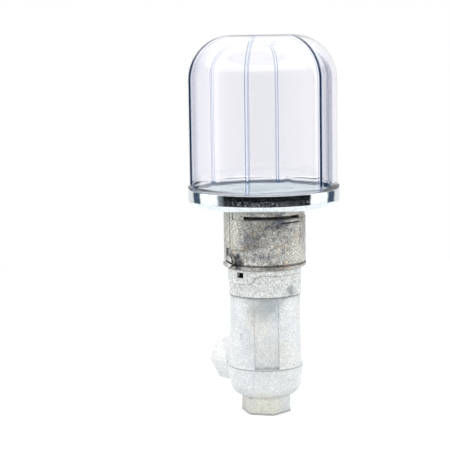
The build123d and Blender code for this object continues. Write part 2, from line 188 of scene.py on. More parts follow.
class StageSizes(bpy.types.PropertyGroup):
    """Camera and floor."""

    distance: bpy.props.FloatProperty(
        name="Distance", description="Camera to the object's axis", default=0.647, unit="LENGTH"
    )
    height: bpy.props.FloatProperty(
        name="Height", description="Camera height", default=0.172, unit="LENGTH"
    )
    pitch: bpy.props.FloatProperty(
        name="Pitch", description="Camera looks down", default=radians(7.8), subtype="ANGLE"
    )
    yaw: bpy.props.FloatProperty(
        name="Yaw", description="Camera looks left", default=radians(1.52), subtype="ANGLE"
    )
    roll: bpy.props.FloatProperty(
        name="Roll", description="Camera tilt", default=radians(-0.86), subtype="ANGLE"
    )
    focal: bpy.props.FloatProperty(
        name="Focal length", description="In widths of the picture", default=1490 / 450, min=0.5
    )
    floor_radius: bpy.props.FloatProperty(
        name="Floor", description="Radius", default=0.42, unit="LENGTH"
    )


def grey(level):
    """A grey of this plain strength, for masks and lights."""
    return (level, level, level, 1.0)


def per_mm(size):
    """The pattern scale whose features are about this many millimetres, on coordinates in metres."""
    return 1.0 / (size * MM)


def add(tree, kind, inputs=(), stops=(), **settings):
    """Adds a node with these settings, and the (position, colour) stops of a colour ramp.

    Inputs are given by name or in order. Each is a value, a link, or a node that stands for its first output.
    """
    made = tree.nodes.new(kind)
    for name, value in settings.items():
        setattr(made, name, value)
    for name, value in inputs.items() if isinstance(inputs, dict) else enumerate(inputs):
        if isinstance(value, bpy.types.Node):
            value = next(output for output in value.outputs if output.enabled)
        if isinstance(value, bpy.types.NodeSocket):
            tree.links.new(value, made.inputs[name])
        else:
            made.inputs[name].default_value = value
    for place, (position, colour) in enumerate(stops):
        elements = made.color_ramp.elements
        element = elements[place] if place < len(elements) else elements.new(position)
        element.position = position
        element.color = colour
    return made


def new_material(name):
    """An empty material, its node tree, and the object coordinates that its patterns read."""
    material = bpy.data.materials.new(name)
    material.use_nodes = True
    tree = material.node_tree
    tree.nodes.clear()
    return material, tree, add(tree, "ShaderNodeTexCoord").outputs["Object"]


def surfaced(material, inputs):
    """Ends a material with its shader and returns it."""
    shader = add(material.node_tree, "ShaderNodeBsdfPrincipled", inputs)
    add(material.node_tree, "ShaderNodeOutputMaterial", [shader])
    return material


def clear_polycarbonate():
    """Injection-moulded clear polycarbonate: smooth, with a faint violet cast and a slow flow ripple.

    A ridge bends light like a fine rod. A grey line painted into the colour along each side of its bead, and a
    faint navy glow painted on by emission near it, stand in for that light. The edge of the small flange over
    the ring is dull.
    """
    material, tree, where = new_material("clear moulded polycarbonate")
    sizes = bpy.context.scene.oiler_bottle
    split = add(tree, "ShaderNodeSeparateXYZ", [where])
    east, north, high = (split.outputs[name] for name in "XYZ")
    squares = [
        add(tree, "ShaderNodeMath", [along, along], operation="MULTIPLY") for along in (east, north)
    ]
    squared = add(tree, "ShaderNodeMath", squares, operation="ADD")
    radius = add(tree, "ShaderNodeMath", [squared], operation="SQRT")

    # How far round the bottle the nearest ridge is
    step = 2 * pi / sizes.panels
    bearing = add(tree, "ShaderNodeMath", [north, east], operation="ARCTAN2")
    turned = add(tree, "ShaderNodeMath", [bearing, sizes.turn + step / 2], operation="SUBTRACT")
    wrapped = add(tree, "ShaderNodeMath", [turned, step / 2, -step / 2], operation="WRAP")
    away = add(tree, "ShaderNodeMath", [wrapped], operation="ABSOLUTE")
    off_ridge = add(tree, "ShaderNodeMath", [away, radius], operation="MULTIPLY")

    # How far off the line along either side of its bead a point is
    beside = add(tree, "ShaderNodeMath", [off_ridge, sizes.bead_width], operation="SUBTRACT")
    off_line = add(tree, "ShaderNodeMath", [beside], operation="ABSOLUTE")

    # Each fade goes from 0 at its first bound to 1 at its second
    band_top = BOTTLE_LOW.z + sizes.band
    flange_top = band_top + sizes.flange + 0.2 * sizes.flare
    rim = sizes.flange_radius
    fades = [
        add(tree, "ShaderNodeMapRange", [value, start, end], interpolation_type="SMOOTHSTEP")
        for value, start, end in (
            (off_line, 0.3 * MM, 0.05 * MM),
            (radius, 6 * MM, 14 * MM),
            (high, band_top - 0.2 * MM, band_top - 0.1 * MM),
            (radius, rim - 0.7 * MM, rim - 0.3 * MM),
            (high, flange_top + 0.2 * MM, flange_top),
            (off_ridge, 1.6 * MM, 0.6 * MM),
        )
    ]
    line, off_middle, over_band, at_rim, under_top, painted_glow_reach = fades
    ridge = add(tree, "ShaderNodeMath", [line, off_middle], operation="MULTIPLY")
    rim_over_band = add(tree, "ShaderNodeMath", [over_band, at_rim], operation="MULTIPLY")
    flange = add(tree, "ShaderNodeMath", [rim_over_band, under_top], operation="MULTIPLY")

    flow = add(tree, "ShaderNodeTexNoise", {"Vector": where, "Scale": per_mm(9.0), "Detail": 1.0})
    gloss = add(tree, "ShaderNodeMapRange", {"Value": flow, "To Min": 0.0, "To Max": 0.02})
    dull = add(tree, "ShaderNodeMath", [flange, 0.6], operation="MULTIPLY")
    # Painted light: a grey line beside each ridge's bead, standing in for light the ridge bends
    tint_and_painted_lines = {"Factor": ridge, "A": (*sizes.tint, 1.0), "B": linear("#94979b")}
    # Painted light: a faint navy glow near each ridge, given by emission
    painted_navy_glow = {"Factor": painted_glow_reach, "A": grey(0.0), "B": linear("#0b2a4b")}
    return surfaced(
        material,
        {
            "Base Color": add(tree, "ShaderNodeMix", tint_and_painted_lines, data_type="RGBA"),
            "IOR": 1.58,
            "Transmission Weight": 1.0,
            "Emission Color": add(tree, "ShaderNodeMix", painted_navy_glow, data_type="RGBA"),
            "Emission Strength": 0.75,
            "Roughness": add(tree, "ShaderNodeMath", [gloss, dull], operation="MAXIMUM"),
            "Normal": add(
                tree, "ShaderNodeBump", {"Height": flow, "Strength": 0.15, "Distance": 0.05 * MM}
            ),
        },
    )


def bright_zinc_plate():
    """Rolled steel with bright zinc plate: a clear mirror with dull specks, drawn coarse so that they show."""
    material, tree, where = new_material("bright zinc plated rolled steel")
    speckle = add(tree, "ShaderNodeTexNoise", {"Vector": where, "Scale": per_mm(0.9), "Detail": 3.0})
    specks = add(tree, "ShaderNodeTexNoise", {"Vector": where, "Scale": per_mm(0.6), "Detail": 2.0})
    colours = [(0.3, linear("#bcc4c9")), (0.5, linear("#d3dade")), (0.75, linear("#dde3e6"))]
    metal = [(0.6, grey(1.0)), (0.68, grey(0.85)), (0.74, grey(0.6))]
    dull = {"Value": speckle, "From Min": 0.35, "From Max": 0.75, "To Min": 0.04, "To Max": 0.14}
    return surfaced(
        material,
        {
            "Base Color": add(tree, "ShaderNodeValToRGB", [speckle], colours),
            "Metallic": add(tree, "ShaderNodeValToRGB", [specks], metal),
            "Roughness": add(tree, "ShaderNodeMapRange", dull),
            "Normal": add(
                tree, "ShaderNodeBump", {"Height": speckle, "Strength": 0.05, "Distance": 0.02 * MM}
            ),
        },
    )


def satin_plate(name, pale, dark, metallic, roughness, crease_shade=1.0):
    """Pressed steel with a satin zinc plate: its tone drifts slowly, over a fine grain drawn coarse."""
    material, tree, where = new_material(name)
    drift = add(tree, "ShaderNodeTexNoise", {"Vector": where, "Scale": per_mm(7.0), "Detail": 4.0})
    grain = add(tree, "ShaderNodeTexNoise", {"Vector": where, "Scale": per_mm(0.5), "Detail": 2.0})
    colour = add(tree, "ShaderNodeValToRGB", [drift], [(0.3, linear(dark)), (0.7, linear(pale))])
    # Painted shade in creases, when asked for
    if crease_shade < 1.0:
        colour = crease_shaded(tree, colour, 2.0, crease_shade)
    return surfaced(
        material,
        {
            "Base Color": colour,
            "Metallic": metallic,
            "Roughness": roughness,
            "Normal": add(
                tree, "ShaderNodeBump", {"Height": grain, "Strength": 0.1, "Distance": 0.03 * MM}
            ),
        },
    )


def cast_zinc(
    name, tones, metallic, roughness, patch, grit, speckle, relief, crease_shade, marks_and_painted_light=(), shade_line=None
):
    """Die-cast zinc alloy, left as cast: patches of grey with warm stains, and a sandy grit drawn coarse.

    The tones are pale, mid, dark and warm. Patch and grit are sizes in millimetres, speckle is how dark the
    grit gets, crease_shade is how dark the painted shade in creases and under ledges gets, and relief is the
    grit's bump.
    Patches about places carry real marks and painted light and shade, and a shade line is a height and the
    shade of a painted dark line there.
    """
    material, tree, where = new_material(name)
    pale, mid, dark, warm = tones
    patches = add(
        tree,
        "ShaderNodeTexNoise",
        {"Vector": where, "Scale": per_mm(patch), "Detail": 5.0, "Roughness": 0.65},
    )
    stains = add(
        tree,
        "ShaderNodeTexNoise",
        {"Vector": where, "W": 3.1, "Scale": per_mm(patch * 1.7), "Detail": 3.0},
        noise_dimensions="4D",
    )
    sand = add(
        tree,
        "ShaderNodeTexNoise",
        {"Vector": where, "Scale": per_mm(grit), "Detail": 4.0, "Roughness": 0.7},
    )
    greys = [(0.32, linear(dark)), (0.5, linear(mid)), (0.66, linear(pale))]
    stained = {
        "Factor": add(tree, "ShaderNodeValToRGB", [stains], [(0.52, grey(0.0)), (0.68, grey(0.6))]),
        "A": add(tree, "ShaderNodeValToRGB", [patches], greys),
        "B": linear(warm),
    }
    colour = add(tree, "ShaderNodeMix", stained, data_type="RGBA")
    for place, size, shade, blend in marks_and_painted_light:
        colour = marked_and_lit(tree, where, colour, patches, place, size, shade, blend)
    if shade_line is not None:
        colour = shade_lined(tree, where, colour, *shade_line)
    dots = [(0.3, grey(speckle)), (0.48, grey(0.4 + 0.6 * speckle)), (0.7, grey(1.0))]
    gritty = {"Factor": 1.0, "A": colour, "B": add(tree, "ShaderNodeValToRGB", [sand], dots)}
    colour = add(tree, "ShaderNodeMix", gritty, data_type="RGBA", blend_type="MULTIPLY")
    rough = {"Value": sand, "To Min": roughness + 0.12, "To Max": roughness - 0.12}
    return surfaced(
        material,
        {
            # Painted shade in creases and under ledges
            "Base Color": crease_shaded(tree, colour, 1.5, crease_shade),
            "Metallic": metallic,
            "Roughness": add(tree, "ShaderNodeMapRange", rough),
            "Normal": add(
                tree, "ShaderNodeBump", {"Height": sand, "Strength": relief, "Distance": 0.12 * MM}
            ),
        },
    )


def marked_and_lit(tree, where, colour, breakup, place, size, shade, blend):
    """Darkens or lightens a colour about a place in millimetres, its border broken up by a noise; used for
    real marks and for painted light and shade.
    """
    centre = tuple(c * MM for c in place)
    away = add(tree, "ShaderNodeVectorMath", [where, centre], operation="DISTANCE")
    lean = add(tree, "ShaderNodeMath", [breakup, 0.5], operation="SUBTRACT")
    shift = add(tree, "ShaderNodeMath", [lean, size * MM], operation="MULTIPLY")
    reach = add(tree, "ShaderNodeMath", [away, shift], operation="ADD")
    span = [reach, size * MM, 0.2 * size * MM]
    near = add(tree, "ShaderNodeMapRange", span, interpolation_type="SMOOTHSTEP")
    mixed = {"Factor": near, "A": colour, "B": linear(shade)}
    return add(tree, "ShaderNodeMix", mixed, data_type="RGBA", blend_type=blend)


def shade_lined(tree, where, colour, height, shade):
    """Paints a fine dark line round a casting at this height, as far out as the side port's boss: painted
    shade in a crease or under an edge.
    """
    level = add(tree, "ShaderNodeSeparateXYZ", [where]).outputs["Z"]
    above = add(tree, "ShaderNodeMath", [level, height], operation="SUBTRACT")
    off = add(tree, "ShaderNodeMath", [above], operation="ABSOLUTE")
    out = add(tree, "ShaderNodeVectorMath", [where, (0.0, 0.0, height)], operation="DISTANCE")
    fades = [
        add(tree, "ShaderNodeMapRange", span, interpolation_type="SMOOTHSTEP")
        for span in ([off, 0.3 * MM, 0.05 * MM], [out, 18.0 * MM, 17.4 * MM])
    ]
    near = add(tree, "ShaderNodeMath", fades, operation="MULTIPLY")
    line = {"Factor": near, "A": colour, "B": linear(shade)}
    return add(tree, "ShaderNodeMix", line, data_type="RGBA", blend_type="MULTIPLY")


def crease_shaded(tree, colour, reach, darkest):
    """Paints shade into a colour in creases and under ledges, within this many millimetres, read from ambient
    occlusion.
    """
    hollow = add(tree, "ShaderNodeAmbientOcclusion", {"Distance": reach * MM}, samples=16)
    shades = [(0.1, grey(darkest)), (0.7, grey(0.3 + 0.7 * darkest)), (0.94, grey(1.0))]
    shade = add(tree, "ShaderNodeValToRGB", [hollow.outputs["AO"]], shades)
    mixed = {"Factor": 1.0, "A": colour, "B": shade}
    return add(tree, "ShaderNodeMix", mixed, data_type="RGBA", blend_type="MULTIPLY")


def moulded_rubber():
    """Black nitrile rubber, moulded: matt, with a faint bloom."""
    material, tree, where = new_material("moulded nitrile rubber")
    bloom = add(tree, "ShaderNodeTexNoise", {"Vector": where, "Scale": per_mm(1.5), "Detail": 3.0})
    blacks = [(0.35, linear("#161616")), (0.7, linear("#2a2a2b"))]
    colour = add(tree, "ShaderNodeValToRGB", [bloom], blacks)
    return surfaced(material, {"Base Color": colour, "Roughness": 0.6})


def red_fibre():
    """Vulcanised fibre washer stock: dull red with a papery fleck."""
    material, tree, where = new_material("vulcanised fibre")
    fleck = add(tree, "ShaderNodeTexNoise", {"Vector": where, "Scale": per_mm(0.6), "Detail": 4.0})
    reds = [(0.35, linear("#5c1c16")), (0.7, linear("#7e2d22"))]
    colour = add(tree, "ShaderNodeValToRGB", [fleck], reds)
    return surfaced(material, {"Base Color": colour, "Roughness": 0.75})


def turned_brass():
    """Turned brass: yellow metal with fine tool rings along the axis, drawn coarse so that they show."""
    material, tree, where = new_material("turned brass")
    waves = {"Vector": where, "Scale": per_mm(1.4), "Distortion": 0.6, "Detail": 1.0}
    rings = add(tree, "ShaderNodeTexWave", waves, bands_direction="Z").outputs["Fac"]
    yellows = [(0.2, linear("#b08a45")), (0.8, linear("#d0ab62"))]
    return surfaced(
        material,
        {
            "Base Color": add(tree, "ShaderNodeValToRGB", [rings], yellows),
            "Metallic": 1.0,
            "Roughness": 0.28,
            "Normal": add(
                tree, "ShaderNodeBump", {"Height": rings, "Strength": 0.1, "Distance": 0.02 * MM}
            ),
        },
    )


def deselect():
    """Nothing selected and object mode, as every new piece starts."""
    if bpy.context.object and bpy.context.object.mode != "OBJECT":
        bpy.ops.object.mode_set(mode="OBJECT")
    bpy.ops.object.select_all(action="DESELECT")


def smooth(piece, angle):
    """Shades a piece smooth, except over edges sharper than this angle."""
    deselect()
    piece.select_set(True)
    bpy.context.view_layer.objects.active = piece
    bpy.ops.object.shade_smooth_by_angle(angle=angle)


def rounded(corners, steps):
    """An outline through (radius, height, rounding) corners, each rounding drawn as an arc."""
    points = []
    for i, (r, z, rounding) in enumerate(corners):
        here = Vector((r, z))
        if rounding == 0:
            points.append(here)
            continue
        back = (Vector(corners[i - 1][:2]) - here).normalized()
        ahead = (Vector(corners[(i + 1) % len(corners)][:2]) - here).normalized()
        half = back.angle(ahead) / 2
        centre = here + (back + ahead).normalized() * (rounding / sin(half))
        start = (here + back * (rounding / tan(half)) - centre).normalized()
        end = (here + ahead * (rounding / tan(half)) - centre).normalized()
        points += [centre + start.slerp(end, k / steps) * rounding for k in range(steps + 1)]
    return points


def spun(name, outline, steps):
    """A closed outline of (radius, height) points, spun once round the axis into a closed piece."""
    deselect()
    bpy.ops.mesh.primitive_circle_add(vertices=len(outline), radius=0.01)
    piece = bpy.context.object
    piece.name = name
    piece.data.name = name
    for vertex, (r, z) in zip(piece.data.vertices, outline):
        vertex.co = (r, 0.0, z)
    bpy.ops.object.mode_set(mode="EDIT")
    bpy.ops.mesh.select_all(action="SELECT")
    bpy.ops.mesh.spin(steps=steps, angle=2 * pi, center=(0, 0, 0), axis=(0, 0, 1))
    bpy.ops.mesh.select_all(action="SELECT")
    bpy.ops.mesh.remove_doubles(threshold=1e-6)
    bpy.ops.mesh.delete_loose(use_verts=True, use_edges=True, use_faces=False)
    bpy.ops.mesh.select_all(action="SELECT")
    bpy.ops.mesh.normals_make_consistent(inside=False)
    bpy.ops.object.mode_set(mode="OBJECT")
    return piece


def dress(piece, material, body):
    """Gives a finished piece its material and the body it rides on."""
    piece.data.materials.clear()
    piece.data.materials.append(material)
    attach(piece, body)


def finish_node(node, material):
    """Gives a carried-over node a new material."""
    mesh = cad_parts[node].data
    mesh.materials.clear()
    mesh.materials.append(material)


def softened(node, name, width, limit=radians(35)):
    """A copy of a node's shape with its loose triangles joined and its edges rounded by a bevel."""
    deselect()
    piece = bpy.data.objects.new(name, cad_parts[node].data.copy())
    piece.data.name = name
    bpy.context.scene.collection.objects.link(piece)
    piece.select_set(True)
    bpy.context.view_layer.objects.active = piece
    bpy.ops.object.mode_set(mode="EDIT")
    bpy.ops.mesh.select_all(action="SELECT")
    bpy.ops.mesh.remove_doubles(threshold=1e-6)
    bpy.ops.mesh.dissolve_limited(angle_limit=radians(0.05))
    bpy.ops.object.mode_set(mode="OBJECT")
    edge = piece.modifiers.new("edge", "BEVEL")
    edge.width = width
    edge.segments = 2
    edge.limit_method = "ANGLE"
    edge.angle_limit = limit
    bpy.ops.object.modifier_apply(modifier="edge")
    smooth(piece, limit)
    return piece


class OILER_OT_bottle(bpy.types.Operator):
    """Clear bottle: a spun dome drawn into arched panels that meet in ridges"""

    bl_idname = "oiler.bottle"
    bl_label = "Clear bottle"

    def execute(self, context):
        sizes = context.scene.oiler_bottle
        foot = BOTTLE_LOW.z
        top = BOTTLE_HIGH.z
        clearance = 0.3 * MM
        band_radius = RING_HIGH.x - context.scene.oiler_ring.sheet - clearance
        panel = sizes.panel
        inner = panel - sizes.wall
        flat = panel - sizes.shoulder
        roof = top - sizes.wall
        spring = top - sizes.shoulder
        inner_shoulder = sizes.shoulder - sizes.wall
        band_top = foot + sizes.band
        flange_top = band_top + sizes.flange
        flare_top = flange_top + sizes.flare
        proud = sizes.flange_radius - panel
        sweep = (proud * proud + sizes.flare * sizes.flare) / (2 * proud)
        flare_steps, straight_steps, arc_steps, turns = 8, 4, 28, 480
        bends = [pi / 2 * k / arc_steps for k in range(arc_steps + 1)]
        sides = [flare_top + (spring - flare_top) * k / straight_steps for k in range(straight_steps)]

        # Up the outside
        outline = [
            Vector((band_radius, foot)),
            Vector((band_radius, band_top)),
            Vector((sizes.flange_radius, band_top)),
            Vector((sizes.flange_radius, flange_top)),
        ]
        for k in range(1, flare_steps + 1):
            z = sizes.flare * (1 - k / flare_steps)
            r = panel + sweep - sqrt(sweep * sweep - z * z)
            outline.append(Vector((r, flange_top + sizes.flare - z)))
        outline += [Vector((panel, z)) for z in sides[1:]]
        for a in bends:
            outline.append(Vector((flat + sizes.shoulder * cos(a), spring + sizes.shoulder * sin(a))))
        outline += [
            Vector((flat * (1 - k / straight_steps), top)) for k in range(1, straight_steps + 1)
        ]

        # Down the inside
        outline += [Vector((flat * k / straight_steps, roof)) for k in range(straight_steps)]
        for a in reversed(bends):
            outline.append(Vector((flat + inner_shoulder * cos(a), spring + inner_shoulder * sin(a))))
        outline += [Vector((inner, z)) for z in reversed(sides)]
        outline += [Vector((inner, band_top)), Vector((band_radius - sizes.wall, foot))]

        piece = spun("clear_bottle", outline, turns)
        self.arch(piece, sizes, band_top, flange_top)
        smooth(piece, radians(50))
        dress(piece, clear_polycarbonate(), "bottle")
        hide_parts("reservoir_bottle")
        return {"FINISHED"}

    def depth(self, sizes, r, z):
        """How far this point of the round dome lies inside its outer surface."""
        flat = sizes.panel - sizes.shoulder
        spring = BOTTLE_HIGH.z - sizes.shoulder
        if z <= spring:
            return sizes.panel - r
        if r <= flat:
            return BOTTLE_HIGH.z - z
        return sizes.shoulder - sqrt((r - flat) ** 2 + (z - spring) ** 2)

    def arch(self, piece, sizes, band_top, flange_top):
        """Draws the points near each ridge together and moves all out to the panels that they belong to."""
        offset = sizes.arc - sizes.panel
        step = 2 * pi / sizes.panels
        gather = 0.35  # the spacing left at a ridge, as a share of the even one
        slack = 0.01 * MM
        for vertex in piece.data.vertices:
            x, y, z = vertex.co
            r = sqrt(x * x + y * y)
            if r < 1e-7:
                continue
            angle = atan2(y, x)
            turn = (angle - sizes.turn) % step
            away = turn / step - 0.5
            close = away * (gather + 2 * (1 - gather) * abs(away))
            local = (close + 0.5) * step
            angle += local - turn
            inside = self.depth(sizes, r, z) > sizes.wall / 2
            reach = r
            if z > (band_top - slack if inside else flange_top + slack):
                form = min(r, sizes.panel)
                arm = form + offset
                low, high = sorted(
                    sqrt(max(arm * arm - (offset * sin(side)) ** 2, 0.0)) - offset * cos(side)
                    for side in (local, local - step)
                )
                reach = (low + high) / 2 - sqrt(((high - low) / 2) ** 2 + sizes.ridge_round**2)
                reach = max(reach, r)
                height, width = sizes.bead, sizes.bead_width
                if inside:
                    height, width = sizes.groove, sizes.groove_width
                near = abs(close) * step * form / width
                reach += height * (form / sizes.panel) ** 2 * exp(-near * near)
            vertex.co = (reach * cos(angle), reach * sin(angle), z)


class OILER_OT_ring(bpy.types.Operator):
    """Bright ring: the pressed cup with a rolled edge, round the bottle's foot"""

    bl_idname = "oiler.ring"
    bl_label = "Bright ring"

    def execute(self, context):
        sizes = context.scene.oiler_ring
        outer = RING_HIGH.x
        low = RING_LOW.z
        high = RING_HIGH.z
        inner = outer - sizes.sheet
        lip = inner - 0.2 * MM
        line = low + sizes.corner + 0.1 * MM
        middle = (line + high) / 2
        waist = outer - sizes.crown
        corners = [
            (sizes.bore, low, 0),
            (waist, low, sizes.corner),
            (waist, line - sizes.groove, 0),
            (waist - sizes.groove, line, 0),
            (waist, line + sizes.groove, 0),
            (outer, middle, 4.0 * MM),
            (waist, high, sizes.roll),
            (lip, high, 0.15 * MM),
            (lip, high - 0.5 * MM, 0.1 * MM),
            (inner, high - 0.9 * MM, 0.2 * MM),
            (inner, low + sizes.sheet, sizes.corner - sizes.sheet),
            (sizes.bore, low + sizes.sheet, 0),
        ]
        corner_steps, turns = 7, 256
        piece = spun("bright_ring", rounded(corners, corner_steps), turns)
        smooth(piece, radians(40))
        dress(piece, bright_zinc_plate(), "bottle")
        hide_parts("collar_ring")
        return {"FINISHED"}


class OILER_OT_castings(bpy.types.Operator):
    """Castings: the neck, sleeve, collar, body and screw with rounded edges and their finish"""

    bl_idname = "oiler.castings"
    bl_label = "Castings"

    def execute(self, context):
        sizes = context.scene.oiler_casting
        cup_rim = 21.6 * MM
        neck = cast_zinc(
            "die-cast zinc, mottled",
            ("#fffdf5", "#e2e0da", "#9a9da3", "#e4cdac"),
            metallic=0.5,
            roughness=0.38,
            patch=2.4,
            grit=0.75,
            speckle=0.14,
            relief=0.7,
            crease_shade=0.05,
            marks_and_painted_light=(
                # Painted light: brighter at both sides, where the side lamps fall
                ((-14, -9, 84), 13, "#fffdf2", "MIX"),
                ((-16, -4, 68), 8, "#fffef8", "MIX"),
                ((14, -10, 72), 8, "#f6f4ea", "MIX"),
                # Painted shade on the front panel and under the vent slot
                ((-5, -16, 77), 8, "#c6cad2", "MULTIPLY"),
                ((6, -16, 87), 6, "#9fa6b4", "MULTIPLY"),
                # Painted shadow in the pocket about the screw
                ((-13, -10, 66), 7, "#bcbcba", "MULTIPLY"),
                ((-11.5, -14, 68), 3.5, "#4f565e", "MULTIPLY"),
                ((-12, -13.5, 71.5), 3, "#6a7076", "MULTIPLY"),
                # Darker low in front
                ((4, -18, 66), 7, "#cfcfcd", "MULTIPLY"),
            ),
            # Painted shadow: a dark line in the crease over the rim
            shade_line=(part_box("upper_casting")[0].z + 1.6 * MM, "#4b4d50"),
        )
        body = cast_zinc(
            "die-cast zinc, pale",
            ("#f2f6f7", "#ebf0f2", "#e2e8eb", "#efede3"),
            metallic=0.3,
            roughness=0.42,
            patch=9.0,
            grit=0.8,
            speckle=0.6,
            relief=0.25,
            crease_shade=0.6,
            marks_and_painted_light=(
                # Painted shade at the top of the front flat, under the sleeve; painted light on the hex foot
                # and the side boss
                ((1, -15, 50), 11, "#c8ced3", "MULTIPLY"),
                ((0, -11, 3), 14, "#fcfcf2", "MIX"),
                ((-18, 14, 28), 14, "#ffffff", "MIX"),
            ),
            # Painted shade: a darker line in the crease over the cup's lip
            shade_line=(cup_rim, "#a2a7ab"),
        )
        sleeve = cast_zinc(
            "turned zinc, pale",
            ("#fbfffd", "#f3f7f5", "#dbe1e1", "#f5f3e9"),
            metallic=0.35,
            roughness=0.42,
            patch=1.8,
            grit=0.8,
            speckle=0.35,
            relief=0.45,
            crease_shade=0.06,
            marks_and_painted_light=(((12, -12, 56), 4, "#b4b8bd", "MULTIPLY"),),
            # Painted shadow: a dark line along the sleeve's lower edge
            shade_line=(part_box("sleeve")[0].z + 0.2 * MM, "#7c8286"),
        )
        screw = satin_plate("zinc plated screw steel", "#e4e4e0", "#a9a9a6", 0.8, 0.3, 0.02)
        plans = [
            ("upper_casting", "cast_neck", sizes.fine_edge, neck, "neck", "zinc_neck"),
            ("lower_body", "cast_body", sizes.edge, body, "base", "zinc_body"),
            ("sleeve", "plain_sleeve", sizes.fine_edge, sleeve, "base", "zinc_sleeve"),
            ("level_collar", "wavy_collar", sizes.sheet_edge, sleeve, "collar", "zinc_collar"),
            ("set_screw", "slotted_screw", sizes.sheet_edge, screw, "screw", "screw_steel"),
        ]
        for node, name, width, material, ride_on, slot in plans:
            piece = softened(node, name, width)
            dress(piece, material, ride_on)
            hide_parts(node)
        return {"FINISHED"}


class OILER_OT_inner_pieces(bpy.types.Operator):
    """Inner pieces: finishes for the dish, spout, hub, seals and level adjuster"""

    bl_idname = "oiler.inner_pieces"
    bl_label = "Inner pieces"

    def execute(self, context):
        brass = turned_brass()
        rubber = moulded_rubber()
        steel = satin_plate("zinc plated pressed steel", "#cfd3d4", "#a4a9ab", 1.0, 0.35)
        dish = satin_plate("satin zinc plated dish", "#f2fafa", "#dcebef", 0.15, 0.42)
        hub = cast_zinc(
            "die-cast zinc, grey",
            ("#c9c9c6", "#a9a9a7", "#7f8082", "#b3a58f"),
            metallic=0.6,
            roughness=0.45,
            patch=3.0,
            grit=0.5,
            speckle=0.5,
            relief=0.3,
            crease_shade=0.1,
        )
        finishes = {
            "reservoir_dish": dish,
            "bottle_gasket": rubber,
            "sleeve_seal": rubber,
            "fibre_washer": red_fibre(),
            "guide_hub": hub,
            "lock_washer": steel,
            "adjuster_foot": steel,
            "feed_spout": brass,
            "spout_nut": brass,
            "level_stem": brass,
            "cross_arm": brass,
            "lock_wing_nut": brass,
        }
        for node, material in finishes.items():
            finish_node(node, material)
        return {"FINISHED"}


